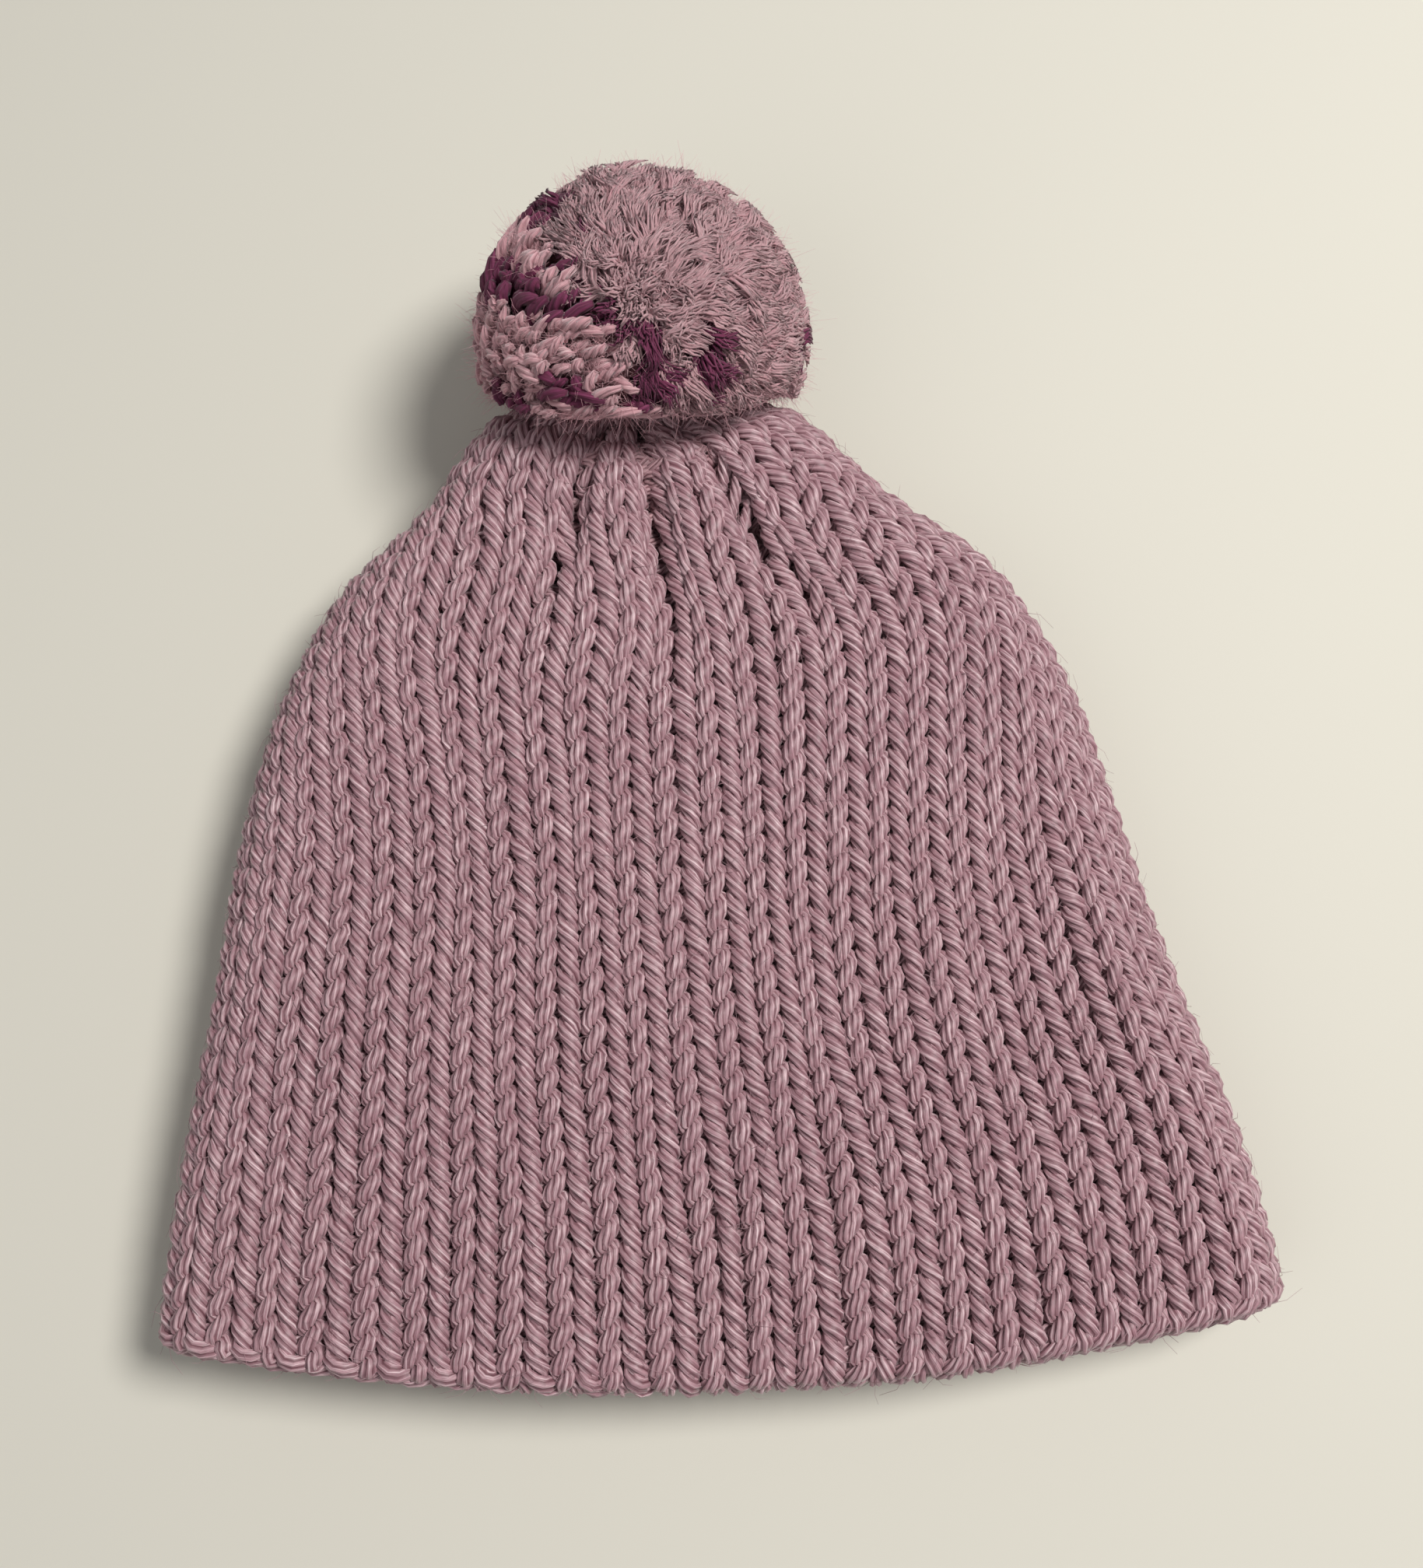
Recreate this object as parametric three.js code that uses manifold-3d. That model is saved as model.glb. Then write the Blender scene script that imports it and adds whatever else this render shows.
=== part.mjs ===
// A double-layer knitted beanie with a yarn pom-pom, lying flat.
// Millimetres, +Z up. The mouth faces -Y, the pom-pom is toward +Y, and the hat rests on z = 0.
// The hat is one knitted tube folded into itself: an outer layer, a fold at the brim and a lining.
// Both ends are drawn shut with a yarn, and the pom-pom's tie passes through them to a knot inside.
import * as THREE from 'three';
import { mergeVertices } from 'three/addons/utils/BufferGeometryUtils.js';
import Module from 'manifold-3d';

const wasm = await Module();
wasm.setup();
const { lerp, smoothstep, degToRad } = THREE.MathUtils;

// ---- Driving dimensions ----
const gap = 0.4; // clearance between neighbouring pieces
const layerThickness = 5; // one layer of the knit
const liningOffset = layerThickness + gap; // depth of the lining's outer face
const doubleThickness = liningOffset + layerThickness;
const yarnRadius = 1.5; // drawn-tight yarn of the tie and the drawstrings

const foldLip = 5.2; // how far the brim's fold stands in front of the first row
const neckRowY = 171.5; // the row where the crown starts to close, on the midline
const eyeY = 197.5; // outer face of the crown's eye
const eyeRadius = 6.5;
const eyeHeight = 24; // the crown's end lifts off the floor to meet the pom-pom
const neckLift = 2; // how far the underside has lifted at the neck row
const liftStart = 0.75; // fraction of the way to the neck where the underside leaves the floor
const crownX = -10; // the crown lies this far to the left of the brim's middle
const crownTilt = degToRad(14); // the crown's end leans back by this
const pillow = 2; // extra loft of the top side along its middle
const shoulder = 5; // the gathered crown rises this far at its sides, so that its end is broad and flat

const pomRadius = 35;
const pomCentre = new THREE.Vector3(crownX + 1, 212, 31);
const pivot = new THREE.Vector3(crownX, eyeY + 1.3, eyeHeight); // where the tie leaves the crown
// The ball's underside, as distance from the tether and height above the pivot: clear of the crown as it tilts.
const undersideLine = [[0, 2.6], [20, 6.5], [60, 6.5]];
const tieRingRadius = 3.6;
const tieClearance = 0.8;
const knotRadius = 2.8;

// The shape from brim to neck, at evenly spaced rows, as seen from above and from the side.
const halfWidths = [108.8, 104.3, 96.5, 90.8, 82.8, 68.9, 46];
const halfThicknesses = [13.5, 14.6, 15.2, 15.2, 15.5, 16, 16];
const rowSags = [11.5, 16.5, 21, 23.5, 24, 21, 15]; // the rows hang lower in the middle than at the sides
const leans = [0, -0.8, -3.3, -4.6, -5, -5.4, -7.5]; // how far each row has shifted to the crown's side

// Folds of the gathered crown: place across the width, spread, depth, and side (+1 top, -1 underside).
const pleatStart = 0.7;
const pleats = [
  { at: -0.55, spread: 0.12, depth: 3, side: 1 },
  { at: 0.03, spread: 0.12, depth: 4, side: 1 },
  { at: 0.6, spread: 0.12, depth: 3, side: 1 },
  { at: -0.3, spread: 0.14, depth: 2, side: -1 },
  { at: 0.35, spread: 0.14, depth: 2, side: -1 },
];

// Purple strand bundles in the pom-pom: direction from its centre, in degrees.
const bundles = [
  { azimuth: 150, elevation: 56 },
  { azimuth: 192, elevation: 47 },
  { azimuth: 231, elevation: 65 },
  { azimuth: 274, elevation: 49 },
  { azimuth: 301, elevation: 42 },
  { azimuth: 342, elevation: 14 },
  { azimuth: 202, elevation: 14 },
  { azimuth: 240, elevation: 43 },
];
const bundleStart = 17; // distance from the ball's centre to a bundle's inner end
const bundleTipRadius = 4.2;
const bundleRootRadius = 1.9;

// Mesh density
const topSteps = 24;
const bottomSteps = 10;
const endSteps = 10;
const bodyRows = 13;
const crownRows = 7;
const foldSteps = 8;

const midLength = (pomCentre.y + pomRadius) / 2; // the frame's origin is under the middle
const toFrame = (v) => v.clone().setY(v.y - midLength);

// ---- Shape of the hat ----
const curveThrough = (values) => new THREE.SplineCurve(values.map((v, i) => new THREE.Vector2(i, v)));
const halfWidthCurve = curveThrough(halfWidths);
const halfThicknessCurve = curveThrough(halfThicknesses);
const sagCurve = curveThrough(rowSags);
const leanCurve = curveThrough(leans);

// The flattened tube's cross-section: two straight sides joined by half-round ends. Each entry is
// a place along the straight (-1 to 1) and the direction that the surface faces there.
function sectionDirections() {
  const list = [];
  const straight = (steps, from, nz) => {
    for (let i = 0; i < steps; i += 1) list.push({ along: from * (1 - (2 * i) / steps), nx: 0, nz });
  };
  const end = (startAngle, side) => {
    for (let i = 0; i < endSteps; i += 1) {
      const angle = startAngle + (Math.PI * i) / endSteps;
      list.push({ along: side, nx: Math.cos(angle), nz: Math.sin(angle) });
    }
  };
  straight(topSteps, 1, 1);
  end(Math.PI / 2, -1);
  straight(bottomSteps, -1, -1);
  end(-Math.PI / 2, 1);
  return list;
}
const section = sectionDirections();

function pleatDepth(along, nz, body, inward) {
  const strength = smoothstep(body, pleatStart, 1) * (1 - inward);
  let depth = 0;
  for (const pleat of pleats) {
    const away = (along - pleat.at) / pleat.spread;
    if (Math.sign(nz) === pleat.side) depth += pleat.depth * Math.exp(-away * away);
  }
  return depth * strength;
}

// A point of the hat. body runs 0 to 1 from the first row to the neck, crown runs 0 to 1 from the
// neck to the eye, offset is the depth below the outer face, and drop moves it toward the mouth.
function hatPoint({ along, nx, nz }, { body, crown, offset, drop = 0 }) {
  const inward = Math.sin((crown * Math.PI) / 2);
  const outward = Math.cos((crown * Math.PI) / 2);
  const halfThickness = halfThicknessCurve.getPoint(body).y;
  const narrowing = 1 - crown * lerp(0.75, 1, crown);
  const straight = (halfWidthCurve.getPoint(body).y - halfThickness) * narrowing;
  const round = lerp(eyeRadius, halfThickness - offset, outward);
  const across = along * straight + nx * round;
  const sideways = across / (straight + round);
  const rowY = lerp(foldLip, neckRowY, body) + sagCurve.getPoint(body).y * sideways ** 2;
  const lift = neckLift * smoothstep(body, liftStart, 1);
  const loft = nz > 0 ? pillow * (1 - along ** 2) * nz * outward : 0;
  const rise = nz * (round - pleatDepth(along, nz, body, inward)) + loft;
  const leanBack = Math.tan(crownTilt) * inward * rise;
  const swell = shoulder * (Math.sin(Math.PI * crown) * sideways) ** 2;
  return toFrame(new THREE.Vector3(
    across + lerp(leanCurve.getPoint(body).y, crownX, inward),
    lerp(rowY, eyeY - offset, inward) + swell - leanBack - drop,
    lerp(halfThickness + lift, eyeHeight, inward) + rise,
  ));
}

// A closed body swept round the tube: profile is a closed loop of places in the knit's thickness,
// out along one face and back along the other, whose quads are split along matching diagonals.
function bandGeometry(profile) {
  const around = section.length;
  const positions = profile.flatMap((spot) => section.flatMap((way) => hatPoint(way, spot).toArray()));
  const indices = [];
  for (let p = 0; p < profile.length; p += 1) {
    const next = (p + 1) % profile.length;
    for (let s = 0; s < around; s += 1) {
      const beside = (s + 1) % around;
      const [a, b] = [p * around + s, p * around + beside];
      const [c, d] = [next * around + s, next * around + beside];
      if (p < profile.length / 2) indices.push(a, c, b, b, c, d);
      else indices.push(a, c, d, a, d, b);
    }
  }
  const geometry = new THREE.BufferGeometry();
  geometry.setAttribute('position', new THREE.Float32BufferAttribute(positions, 3));
  geometry.setIndex(indices);
  geometry.computeVertexNormals();
  return geometry;
}

function layerGeometry(outerOffset) {
  const places = [];
  for (let i = 0; i <= bodyRows; i += 1) places.push({ body: i / bodyRows, crown: 0 });
  for (let i = 1; i <= crownRows; i += 1) places.push({ body: 1, crown: i / crownRows });
  const outside = places.map((spot) => ({ ...spot, offset: outerOffset }));
  const inside = places.map((spot) => ({ ...spot, offset: outerOffset + layerThickness }));
  return bandGeometry([...outside, ...inside.reverse()]);
}

function brimFoldGeometry() {
  const profile = [];
  for (let i = 0; i <= foldSteps; i += 1) {
    const angle = Math.PI * (1 - i / foldSteps);
    const offset = (doubleThickness / 2) * (1 - Math.cos(angle));
    profile.push({ body: 0, crown: 0, offset, drop: lerp(gap, foldLip, Math.sin(angle)) });
  }
  return bandGeometry(profile);
}

// ---- Booleans ----
function toSolid(geometry, matrix) {
  const plain = geometry.clone();
  plain.deleteAttribute('normal');
  plain.deleteAttribute('uv');
  plain.applyMatrix4(matrix);
  const merged = mergeVertices(plain, 1e-4);
  return new wasm.Manifold(new wasm.Mesh({
    numProp: 3,
    vertProperties: new Float32Array(merged.attributes.position.array),
    triVerts: new Uint32Array(merged.index.array),
  }));
}

function toGeometry(solid) {
  const mesh = solid.getMesh();
  const geometry = new THREE.BufferGeometry();
  geometry.setAttribute('position', new THREE.BufferAttribute(mesh.vertProperties, 3));
  geometry.setIndex(new THREE.BufferAttribute(mesh.triVerts, 1));
  geometry.computeVertexNormals();
  return geometry;
}

// Turns a shape whose own axis is +Y so that the axis starts at a point and runs along a direction.
function aim(direction, from) {
  const turn = new THREE.Quaternion().setFromUnitVectors(new THREE.Vector3(0, 1, 0), direction);
  return new THREE.Matrix4().compose(from, turn, new THREE.Vector3(1, 1, 1));
}

// A round rod along +Y, from one distance to another.
function rod(radius, from, to, sides) {
  return new THREE.CylinderGeometry(radius, radius, to - from, sides).translate(0, (from + to) / 2, 0);
}

// ---- Pom-pom ----
const ballAt = toFrame(pomCentre);
const pivotAt = toFrame(pivot);
const tetherLine = pomCentre.clone().sub(pivot).normalize();
const tetherReach = pomCentre.distanceTo(pivot);
const onTether = aim(tetherLine, pivotAt);

// The whole ball: round, pressed flat where it rests, and hollowed underneath to clear the crown.
function pomEnvelope() {
  const far = 60;
  const ball = new THREE.SphereGeometry(pomRadius, 32, 20);
  const line = [[0, -far], [far, -far], ...undersideLine.toReversed()];
  const underside = new THREE.LatheGeometry(line.map(([x, y]) => new THREE.Vector2(x, y)), 32);
  const floor = new THREE.BoxGeometry(2 * far, 2 * far, far).translate(0, 0, -far / 2);
  return toSolid(ball, new THREE.Matrix4().setPosition(ballAt))
    .subtract(toSolid(underside, onTether))
    .subtract(toSolid(floor, new THREE.Matrix4().setPosition(ballAt.x, ballAt.y, 0)));
}

// A wedge of strands, wider at the ball's surface. grow widens it to make its pocket.
function bundleWedge({ azimuth, elevation }, grow) {
  const direction = new THREE.Vector3().setFromSphericalCoords(
    1,
    degToRad(90 - elevation),
    degToRad(azimuth),
  );
  const upright = new THREE.Vector3(direction.z, direction.x, direction.y);
  const past = 6;
  const start = bundleStart - grow;
  const length = pomRadius + past - start;
  const wedge = new THREE.CylinderGeometry(bundleTipRadius + grow, bundleRootRadius + grow, length, 10);
  wedge.translate(0, start + length / 2, 0);
  return toSolid(wedge, aim(upright, ballAt));
}

// The tie is a ring round the strands' waist, in the plane that holds the tether.
const tieTurn = aim(tetherLine, ballAt);
const tieShape = (tube) => new THREE.TorusGeometry(tieRingRadius, tube, 10, 20);

function pomBallGeometry(envelope) {
  const bore = rod(yarnRadius + tieClearance, -tieRingRadius, tetherReach, 14);
  let ball = envelope
    .subtract(toSolid(bore, onTether))
    .subtract(toSolid(tieShape(yarnRadius + gap), tieTurn));
  for (const bundle of bundles) ball = ball.subtract(bundleWedge(bundle, gap));
  return toGeometry(ball);
}

// ---- Yarn pieces ----
function drawstringGeometry() {
  return new THREE.TorusGeometry(eyeRadius - gap - yarnRadius, yarnRadius, 10, 24).rotateX(Math.PI / 2);
}

const crownLine = (y) => toFrame(new THREE.Vector3(crownX, y, eyeHeight));
const knotY = eyeY - doubleThickness - knotRadius - gap;
const rootClearance = yarnRadius + gap;

// ---- Assembly ----
const mauve = 0xa87f87;
const deepMauve = 0x8c646d;
const purple = 0x5b2b60;

const beanie = new THREE.Group();
beanie.name = 'pom_pom_beanie';

function add(name, geometry, color, position = new THREE.Vector3()) {
  const material = new THREE.MeshStandardMaterial({ color, roughness: 0.85, metalness: 0 });
  const mesh = new THREE.Mesh(geometry, material);
  mesh.name = name;
  mesh.position.copy(position);
  beanie.add(mesh);
}

add('outer_knit_layer', layerGeometry(0), mauve);
add('lining_knit_layer', layerGeometry(liningOffset), deepMauve);
add('brim_fold', brimFoldGeometry(), mauve);

// The yarns that draw the two ends of the tube shut.
add('outer_drawstring', drawstringGeometry(), mauve, crownLine(eyeY - layerThickness / 2));
add(
  'lining_drawstring',
  drawstringGeometry(),
  deepMauve,
  crownLine(eyeY - liningOffset - layerThickness / 2),
);

// The tie's tails, from the knot inside the lining to the outside of the crown.
add('inner_knot', new THREE.IcosahedronGeometry(knotRadius, 2), mauve, crownLine(knotY));
add(
  'inner_tether',
  rod(yarnRadius, knotRadius + gap, pivot.y - rootClearance - knotY, 12),
  mauve,
  crownLine(knotY),
);

// The tether bends at its root, just outside the crown, and its shank runs up to the tie.
add('tether_root', new THREE.IcosahedronGeometry(yarnRadius, 2), mauve, pivotAt);
const shankEnd = tetherReach - tieRingRadius - rootClearance;
add('tether_shank', rod(yarnRadius, rootClearance, shankEnd, 12).applyMatrix4(onTether), mauve);

const envelope = pomEnvelope();
add('pompom_strands', pomBallGeometry(envelope), mauve);
add('pompom_waist_tie', tieShape(yarnRadius).applyMatrix4(tieTurn), deepMauve);
bundles.forEach((bundle, index) => {
  add(`purple_strands_${index + 1}`, toGeometry(bundleWedge(bundle, 0).intersect(envelope)), purple);
});

export default beanie;
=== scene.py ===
"""The looks of the pom-pom beanie: every stitch, strand and stray fibre as its own geometry.

Lengths are in millimetres here and turn into metres when a mesh is made. The hat's shape follows
the CAD model's, except that the end of the crown reaches up to 5 mm further toward the ball.
"""

import bmesh
import bpy
import numpy as np
from mathutils import Matrix


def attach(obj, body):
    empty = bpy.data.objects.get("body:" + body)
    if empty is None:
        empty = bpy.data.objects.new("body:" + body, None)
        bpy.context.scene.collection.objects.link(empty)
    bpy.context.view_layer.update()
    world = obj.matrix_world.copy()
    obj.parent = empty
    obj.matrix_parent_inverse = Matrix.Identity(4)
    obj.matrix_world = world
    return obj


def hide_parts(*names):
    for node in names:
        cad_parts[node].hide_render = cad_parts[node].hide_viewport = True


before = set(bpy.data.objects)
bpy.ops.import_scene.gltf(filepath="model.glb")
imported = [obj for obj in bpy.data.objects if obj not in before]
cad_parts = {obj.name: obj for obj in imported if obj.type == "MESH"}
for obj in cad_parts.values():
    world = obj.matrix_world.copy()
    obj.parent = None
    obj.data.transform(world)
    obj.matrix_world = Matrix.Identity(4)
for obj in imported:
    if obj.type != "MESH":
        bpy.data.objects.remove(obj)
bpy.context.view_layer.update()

TAU = 2 * np.pi

# ---- The hat's shape: the CAD model's numbers, with EYE_Y and SHOULDER 1 mm larger ----
FOLD_LIP = 5.2
NECK_ROW_Y = 171.5
EYE_Y = 198.5
EYE_RADIUS = 6.5
EYE_HEIGHT = 24
NECK_LIFT = 2
LIFT_START = 0.75
CROWN_X = -10
CROWN_TILT = np.tan(np.radians(14))
PILLOW = 2
SHOULDER = 6
MID_LENGTH = 123.5
HALF_WIDTHS = (108.8, 104.3, 96.5, 90.8, 82.8, 68.9, 46)
HALF_THICKNESSES = (13.5, 14.6, 15.2, 15.2, 15.5, 16, 16)
ROW_SAGS = (11.5, 16.5, 21, 23.5, 24, 21, 15)
LEANS = (0, -0.8, -3.3, -4.6, -5, -5.4, -7.5)

# Folds of the gathered crown: place across the width, spread, depth, side, and where each starts.
PLEATS = (
    (-0.54, 0.070, 3.0, 1, 0.80),
    (0.02, 0.085, 3.6, 1, 0.70),
    (0.60, 0.070, 3.2, 1, 0.72),
    (-0.30, 0.07, 4.5, -1, 0.80),
    (0.35, 0.07, 4.5, -1, 0.80),
)

# ---- The knit ----
WALES = 48
BODY_ROWS = 33
CROWN_ROWS = 6
FOLD_ROWS = 3
LINING_CROWN_ROWS = 4
OUTER_ROWS = BODY_ROWS + CROWN_ROWS
LINING_ROWS = BODY_ROWS + LINING_CROWN_ROWS
LINING_FACE = 10.8
YARN = 1.58  # the yarn's radius where the stitches are widest
PLIES = 6
PLY_TURN = 14.5  # length of yarn in which its plies go round once
RINGS_A_STITCH = 22
OUTER_BANDS = 10
# How far the heads of the loops lie under the face.
OUTER_HEADS, FOLD_HEADS, LINING_HEADS = 4.6, 4.2, 3.9

BALL = np.array([-9.0, 88.5, 31.0])
BALL_RADIUS = 35.0
PIVOT = np.array([-10.0, 75.3, 24.0])
CORE_RADIUS = 28.5
FINE_LOCKS, STRANDS_A_LOCK = 1650, 14
COARSE_STRANDS = 1700
STRANDS_A_PIECE = 2500
BUNDLES = 8

# ---- The yarns that hold it together, and the stray fibres ----
DRAWN_YARN, KNOT_YARN = 1.45, 0.95
DRAWSTRING_RING, TIE_RING = 4.6, 3.6
DRAWN_PLY_TURN = 12.0
HAT_FIBRES, BALL_FIBRES = 3600, 30000


def smoothstep(x, low, high):
    x = np.clip((x - low) / (high - low), 0, 1)
    return x * x * (3 - 2 * x)


def lerp(a, b, t):
    return a + (b - a) * t


def unit(v):
    return v / np.maximum(np.linalg.norm(v, axis=-1, keepdims=True), 1e-9)


def curve_through(values, t):
    """A Catmull-Rom curve through evenly spaced values."""
    values = np.asarray(values, float)
    last = len(values) - 1
    p = last * np.clip(t, 0, 1)
    i = np.minimum(np.floor(p).astype(int), last - 1)
    w = p - i
    a, b = values[np.maximum(i - 1, 0)], values[i]
    c, d = values[i + 1], values[np.minimum(i + 2, last)]
    v0, v1 = (c - a) / 2, (d - b) / 2
    return (
        (2 * b - 2 * c + v0 + v1) * w**3 + (-3 * b + 3 * c - 2 * v0 - v1) * w**2 + v0 * w + b
    )


def pleat_depth(along, nz, body, inward):
    depth = 0
    for at, spread, deep, side, start in PLEATS:
        strength = smoothstep(body, start, 0.98) * (1 - 0.6 * inward)
        bump = np.exp(-(np.abs((along - at) / spread) ** 1.7))
        depth = depth + np.where(np.sign(nz) == side, deep * strength * bump, 0)
    return depth


def crowding(along, nz, body):
    """How much closer the wales run inside the folds of the crown."""
    total = 0
    for at, spread, deep, side, start in PLEATS:
        strength = smoothstep(body, start + 0.04, 1.0) * deep * 0.3
        bump = np.exp(-(((along - at) / (1.3 * spread)) ** 2))
        total = total + np.where(np.sign(nz) == side, strength * bump, 0)
    return total


def hat_point(along, nx, nz, body, crown, offset, drop):
    inward, outward = np.sin(crown * np.pi / 2), np.cos(crown * np.pi / 2)
    thick = curve_through(HALF_THICKNESSES, body)
    narrowing = 1 - crown * lerp(0.75, 1, crown)
    straight = (curve_through(HALF_WIDTHS, body) - thick) * narrowing
    end = lerp(EYE_RADIUS, thick - offset, outward)
    across = along * straight + nx * end
    sideways = across / (straight + end)
    row_y = lerp(FOLD_LIP, NECK_ROW_Y, body) + curve_through(ROW_SAGS, body) * sideways**2
    lift = NECK_LIFT * smoothstep(body, LIFT_START, 1)
    loft = np.where(nz > 0, PILLOW * (1 - along**2) * nz * outward, 0)
    pleat = pleat_depth(along, nz, body, inward) * (1 + 0.05 * offset)
    rise = nz * (end - pleat) + loft
    return np.stack(
        [
            across + lerp(curve_through(LEANS, body), CROWN_X, inward),
            lerp(row_y, EYE_Y - offset, inward)
            + SHOULDER * (np.sin(np.pi * crown) * sideways) ** 2
            - CROWN_TILT * inward * rise
            - drop
            - MID_LENGTH,
            lerp(thick + lift, EYE_HEIGHT, inward) + rise,
        ],
        -1,
    )


def section():
    """Places round the flattened tube, from the middle underneath toward -X and back."""
    places = []

    def side(steps, start, stop, nz):
        places.extend((a, 0.0, nz) for a in np.linspace(start, stop, steps, endpoint=False))

    def end(start, stop, at):
        places.extend(
            (at, np.cos(a), np.sin(a)) for a in np.linspace(start, stop, 60, endpoint=False)
        )

    side(110, 0, -1, -1)
    end(-np.pi / 2, -3 * np.pi / 2, -1)
    side(220, -1, 1, 1)
    end(np.pi / 2, -np.pi / 2, 1)
    side(110, 1, 0, -1)
    return np.array(places).T


def body_at(row):
    """Rows are short at the brim and long toward the crown."""
    x = min(row / BODY_ROWS, 1)
    return 0.87 * x + 0.13 * x**3


def row_place(v):
    """Where row v lies: the outer layer above 0, the fold down to -FOLD_ROWS, then the lining."""
    if v >= 0:
        return body_at(v), np.clip((v - BODY_ROWS) / CROWN_ROWS, 0, 1), 0, 0
    if v >= -FOLD_ROWS:
        angle = np.pi * -v / FOLD_ROWS
        return 0, 0, LINING_FACE / 2 * (1 - np.cos(angle)), FOLD_LIP * np.sin(angle)
    w = -FOLD_ROWS - v
    crown = np.clip((w - BODY_ROWS) / LINING_CROWN_ROWS, 0, 1)
    return body_at(w), crown, LINING_FACE, 0


class Noise:
    """Smooth noise over the knit, periodic round the tube, from -1 to 1."""

    def __init__(self, seed, cell_u, cell_v):
        self.nu, self.cell_v = max(3, round(WALES / cell_u)), cell_v
        self.grid = np.random.default_rng(seed).uniform(-1, 1, (200, self.nu))

    def __call__(self, u, v):
        x, y = u / WALES * self.nu, v / self.cell_v + 90
        i, j = np.floor(x).astype(int), np.floor(y).astype(int)
        a, b = x - i, y - j
        a, b = a * a * (3 - 2 * a), b * b * (3 - 2 * b)
        g, n = self.grid, self.nu
        top = lerp(g[j % 200, i % n], g[j % 200, (i + 1) % n], a)
        low = lerp(g[(j + 1) % 200, i % n], g[(j + 1) % 200, (i + 1) % n], a)
        return lerp(top, low, b)


class Cloth:
    """The knit's face over wale number u (round the tube) and row number v (along it)."""

    STEP_V, STEP_U = 0.25, 1 / 6

    def __init__(self):
        along, nx, nz = section()
        self.low = -FOLD_ROWS - LINING_ROWS
        rows = np.arange(self.low, OUTER_ROWS + 1e-6, self.STEP_V)
        count = round(WALES / self.STEP_U)
        grid = np.zeros((len(rows), count, 3))
        for k, v in enumerate(rows):
            place = row_place(v)
            p = hat_point(along, nx, nz, *place)
            # Toward the crown the wales are wider on the top side than underneath.
            wide = -0.05 + 0.52 * smoothstep(place[0], 0.45, 1.15)
            steps = np.linalg.norm(np.roll(p, -1, 0) - p, axis=1) * (1 - wide * nz)
            steps = steps * (1 + crowding(along, nz, place[0]))
            s = np.concatenate([[0], np.cumsum(steps)])
            p = np.vstack([p, p[:1]])
            want = np.arange(count) / count * s[-1]
            grid[k] = np.stack([np.interp(want, s, p[:, c]) for c in range(3)], -1)
        self.grid = grid
        bumps, fine = Noise(11, 5, 9), Noise(12, 2, 4)
        vv, uu = np.meshgrid(rows, np.arange(count) * self.STEP_U, indexing="ij")
        calm = 1 - 0.5 * smoothstep(-vv, FOLD_ROWS, FOLD_ROWS + 4)
        du, dv = self.slopes(uu.ravel(), vv.ravel())
        normal = unit(np.cross(du, dv)).reshape(grid.shape)
        shift = (0.75 * bumps(uu, vv) + 0.3 * fine(uu, vv)) * calm - 0.55
        self.grid = grid + normal * np.minimum(shift, 0.35)[..., None]

    def at(self, u, v):
        g = self.grid
        y = np.clip((v - self.low) / self.STEP_V, 0, len(g) - 1.001)
        x = (u / self.STEP_U) % g.shape[1]
        i, j = np.floor(x).astype(int), np.floor(y).astype(int)
        a, b = (x - i)[:, None], (y - j)[:, None]

        def weights(t):
            return (
                (-t + 2 * t * t - t**3) / 2,
                (2 - 5 * t * t + 3 * t**3) / 2,
                (t + 4 * t * t - 3 * t**3) / 2,
                (t**3 - t * t) / 2,
            )

        out = 0
        for m, wb in enumerate(weights(b)):
            row = np.clip(j + m - 1, 0, len(g) - 1)
            for n, wa in enumerate(weights(a)):
                out = out + wa * wb * g[row, (i + n - 1) % g.shape[1]]
        return out

    def slopes(self, u, v):
        du = self.at(u + 0.2, v) - self.at(u - 0.2, v)
        lo, hi = np.maximum(v - 0.3, self.low), np.minimum(v + 0.3, OUTER_ROWS - 0.001)
        dv = self.at(u, hi) - self.at(u, lo)
        return du / 0.4, dv / np.maximum(hi - lo, 1e-3)[:, None]


# ---- Meshes ----
def add_mesh(name, points, quads, caps, uvs, values, material):
    """points in mm; quads (n, 4); caps (m, k); uvs one per corner, or None; values by attribute."""
    mesh = bpy.data.meshes.new(name)
    mesh.vertices.add(len(points))
    mesh.vertices.foreach_set("co", (points * 0.001).astype(np.float32).ravel())
    faces = [f for f in (quads, caps) if f is not None and len(f)]
    corners = np.concatenate([f.ravel() for f in faces])
    sizes = np.concatenate([np.full(len(f), f.shape[1]) for f in faces])
    starts = np.concatenate([[0], np.cumsum(sizes)[:-1]])
    mesh.loops.add(len(corners))
    mesh.loops.foreach_set("vertex_index", corners.astype(np.int32))
    mesh.polygons.add(len(sizes))
    mesh.polygons.foreach_set("loop_start", starts.astype(np.int32))
    mesh.polygons.foreach_set("use_smooth", np.full(len(sizes), True))
    mesh.update(calc_edges=True)
    if uvs is not None:
        layer = mesh.uv_layers.new(name="OFBake")
        layer.data.foreach_set("uv", uvs.astype(np.float32).ravel())
    for key, data in values.items():
        kind = "FLOAT_VECTOR" if data.ndim == 2 else "FLOAT"
        attribute = mesh.attributes.new(key, kind, "POINT")
        field = "vector" if data.ndim == 2 else "value"
        attribute.data.foreach_set(field, data.astype(np.float32).ravel())
    mesh.materials.append(material)
    made = bpy.data.objects.new(name, mesh)
    bpy.context.scene.collection.objects.link(made)
    return made


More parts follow.
